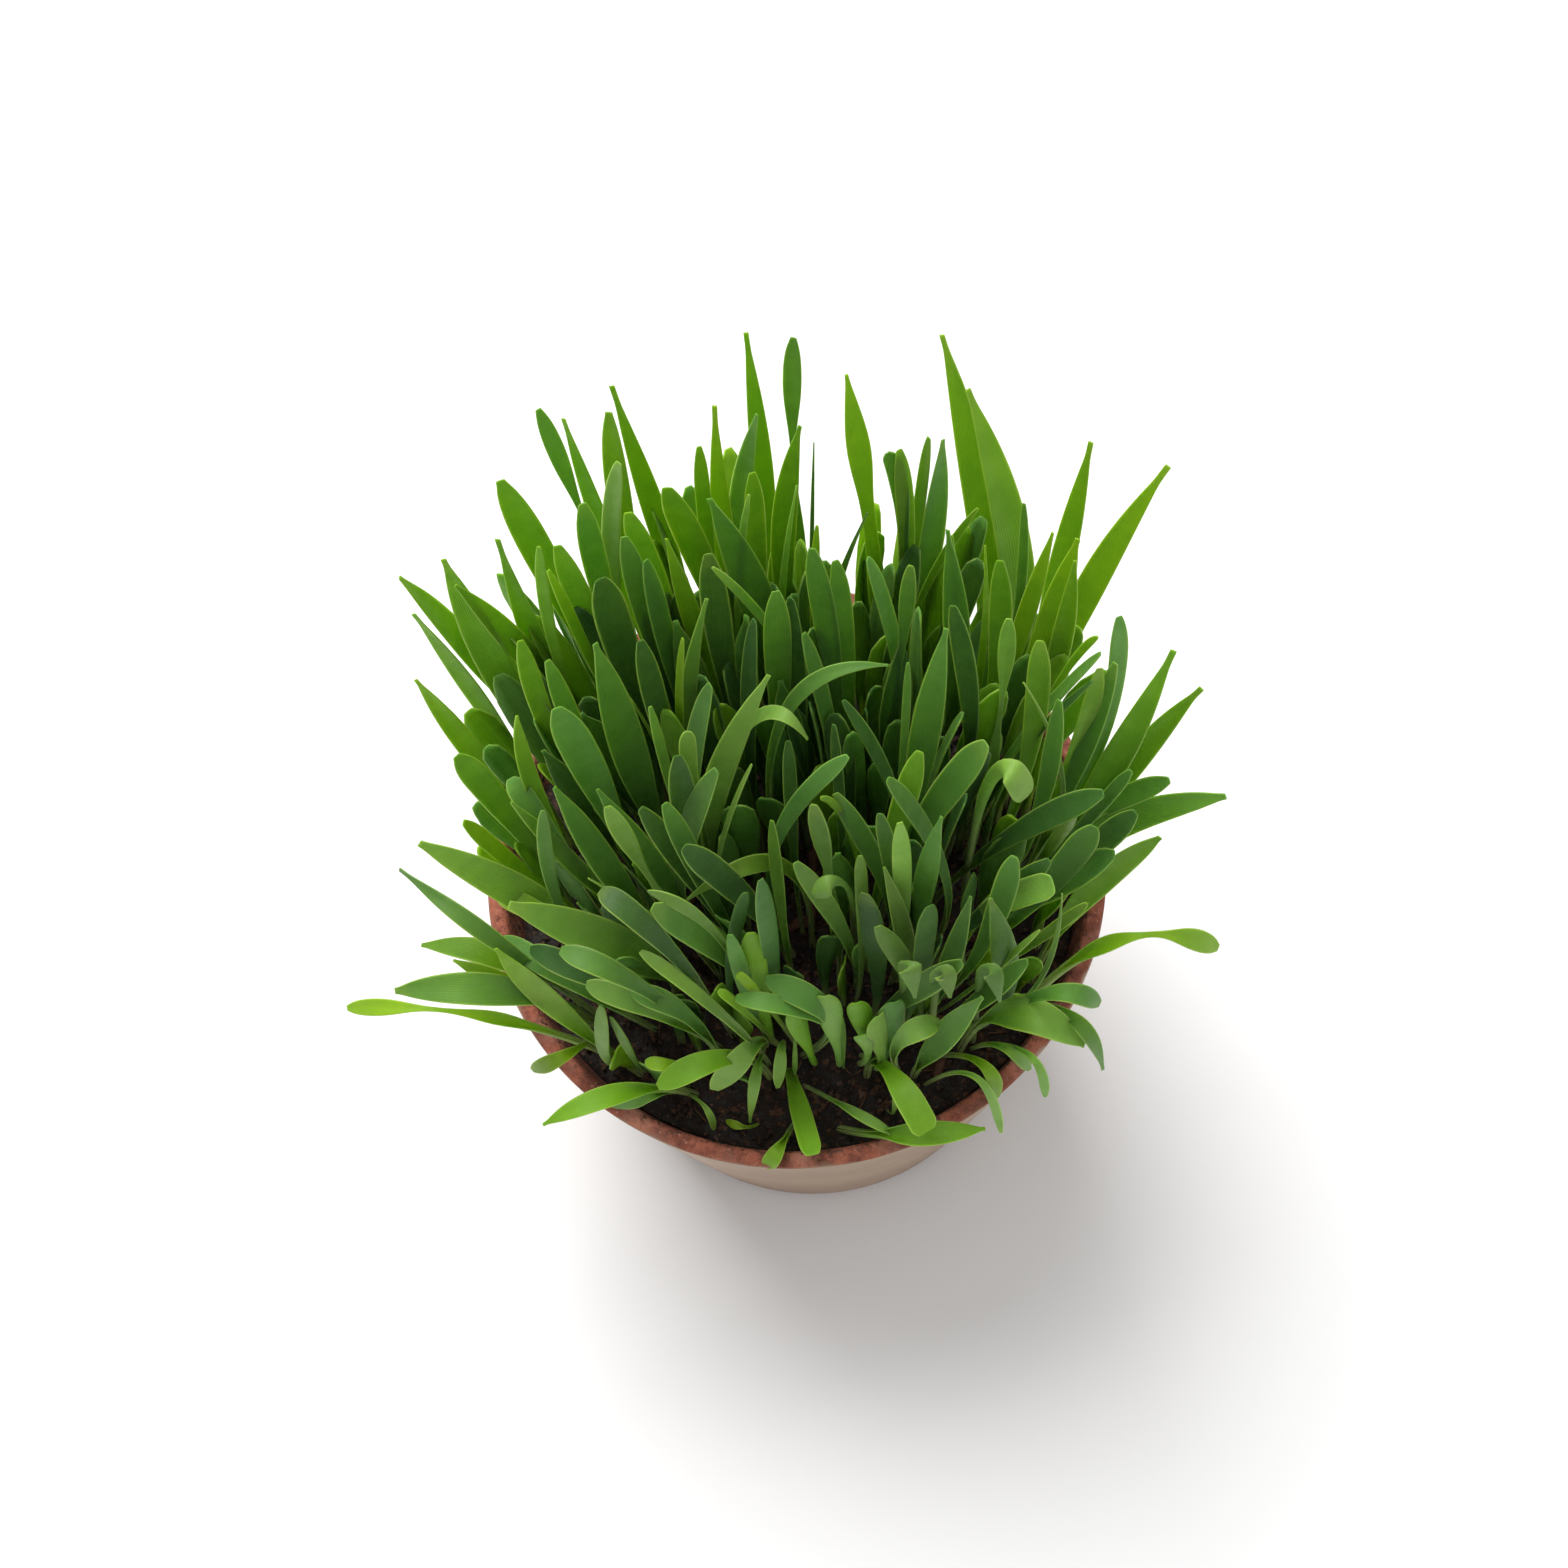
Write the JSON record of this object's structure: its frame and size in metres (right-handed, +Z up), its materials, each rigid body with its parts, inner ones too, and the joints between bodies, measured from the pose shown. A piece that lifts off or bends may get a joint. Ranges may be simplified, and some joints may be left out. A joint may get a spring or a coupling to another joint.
{
  "type": "potted cat grass",
  "caption": "Young oat grass grown as cat grass, standing in soil in a small tapered clay pot with a bare clay lip and a smooth outer coat.",
  "frame": {"origin": "centre of the pot's flat base, on the surface that the pot stands on", "axes": "+Z up along the pot's axis, -Y towards the front, +X to the right"},
  "size_m": [0.1616, 0.1218, 0.185],
  "materials": {
    "clay": "matte",
    "soil": "matte",
    "grass": "satin"
  },
  "bodies": {
    "root": {"pot": "clay", "soil": "soil", "shoot_left_01": "grass", "shoot_left_02": "grass", "shoot_left_03": "grass", "shoot_left_04": "grass", "shoot_left_05": "grass", "shoot_left_06": "grass", "shoot_left_07": "grass", "shoot_left_08": "grass", "shoot_left_09": "grass", "shoot_back_01": "grass", "shoot_back_02": "grass", "shoot_back_03": "grass", "shoot_back_04": "grass", "shoot_back_05": "grass", "shoot_back_06": "grass", "shoot_back_07": "grass", "shoot_back_08": "grass", "shoot_back_09": "grass", "shoot_back_10": "grass", "shoot_right_01": "grass", "shoot_right_02": "grass", "shoot_right_03": "grass", "shoot_right_04": "grass", "shoot_right_05": "grass", "shoot_right_06": "grass", "shoot_right_07": "grass", "shoot_right_08": "grass", "shoot_right_09": "grass", "shoot_right_10": "grass", "shoot_right_11": "grass", "shoot_right_12": "grass", "shoot_right_13": "grass", "shoot_middle_01": "grass", "shoot_middle_02": "grass", "shoot_middle_03": "grass", "shoot_middle_04": "grass", "shoot_middle_05": "grass", "shoot_middle_06": "grass", "shoot_middle_07": "grass", "shoot_middle_08": "grass", "shoot_middle_09": "grass", "shoot_front_01": "grass", "shoot_front_02": "grass", "shoot_front_03": "grass", "shoot_front_04": "grass", "shoot_front_05": "grass", "shoot_front_06": "grass", "shoot_front_07": "grass", "shoot_front_08": "grass", "shoot_front_09": "grass", "shoot_front_10": "grass", "shoot_front_11": "grass", "shoot_front_12": "grass", "shoot_front_13": "grass", "shoot_front_14": "grass", "shoot_front_15": "grass", "shoot_front_16": "grass"}
  },
  "joints": []
}
